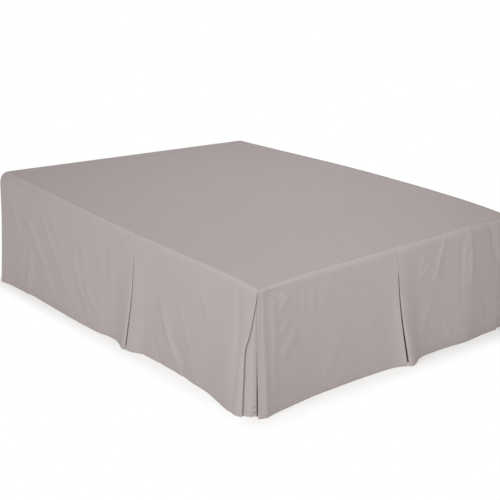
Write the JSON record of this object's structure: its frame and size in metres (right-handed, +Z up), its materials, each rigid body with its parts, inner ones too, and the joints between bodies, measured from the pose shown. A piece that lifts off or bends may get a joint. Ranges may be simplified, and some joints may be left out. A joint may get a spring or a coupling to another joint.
{
  "type": "bed skirt on a plain mattress and bed base",
  "caption": "Tailored bed skirt with a smooth platform, straight drops to the floor, inverted pleats and split foot corners with inserts, on a plain mattress and divan base.",
  "frame": {"origin": "middle of the skirt's outer box, at floor level", "axes": "+Y along the bed towards the head, +X across the bed towards its right side as seen from the foot, +Z up"},
  "size_m": [1.6586, 2.0494, 0.5698],
  "materials": {
    "platform_cloth": "matt taupe plain-weave polycotton, pressed smooth",
    "drop_cloth": "matt taupe plain-weave polycotton, pleated and hanging",
    "mattress_ticking": "plain off-white woven ticking",
    "base_cover": "plain pale upholstery cloth on a timber base",
    "foot_wood": "dark stained wood"
  },
  "bodies": {
    "root": {"platform": "platform_cloth", "drop_left": "drop_cloth", "drop_foot": "drop_cloth", "drop_right": "drop_cloth", "corner_insert_left": "drop_cloth", "corner_insert_right": "drop_cloth", "mattress": "mattress_ticking", "bed_base": "base_cover", "divan_foot_foot_left": "foot_wood", "divan_foot_foot_right": "foot_wood", "divan_foot_head_left": "foot_wood", "divan_foot_head_right": "foot_wood"}
  },
  "joints": []
}
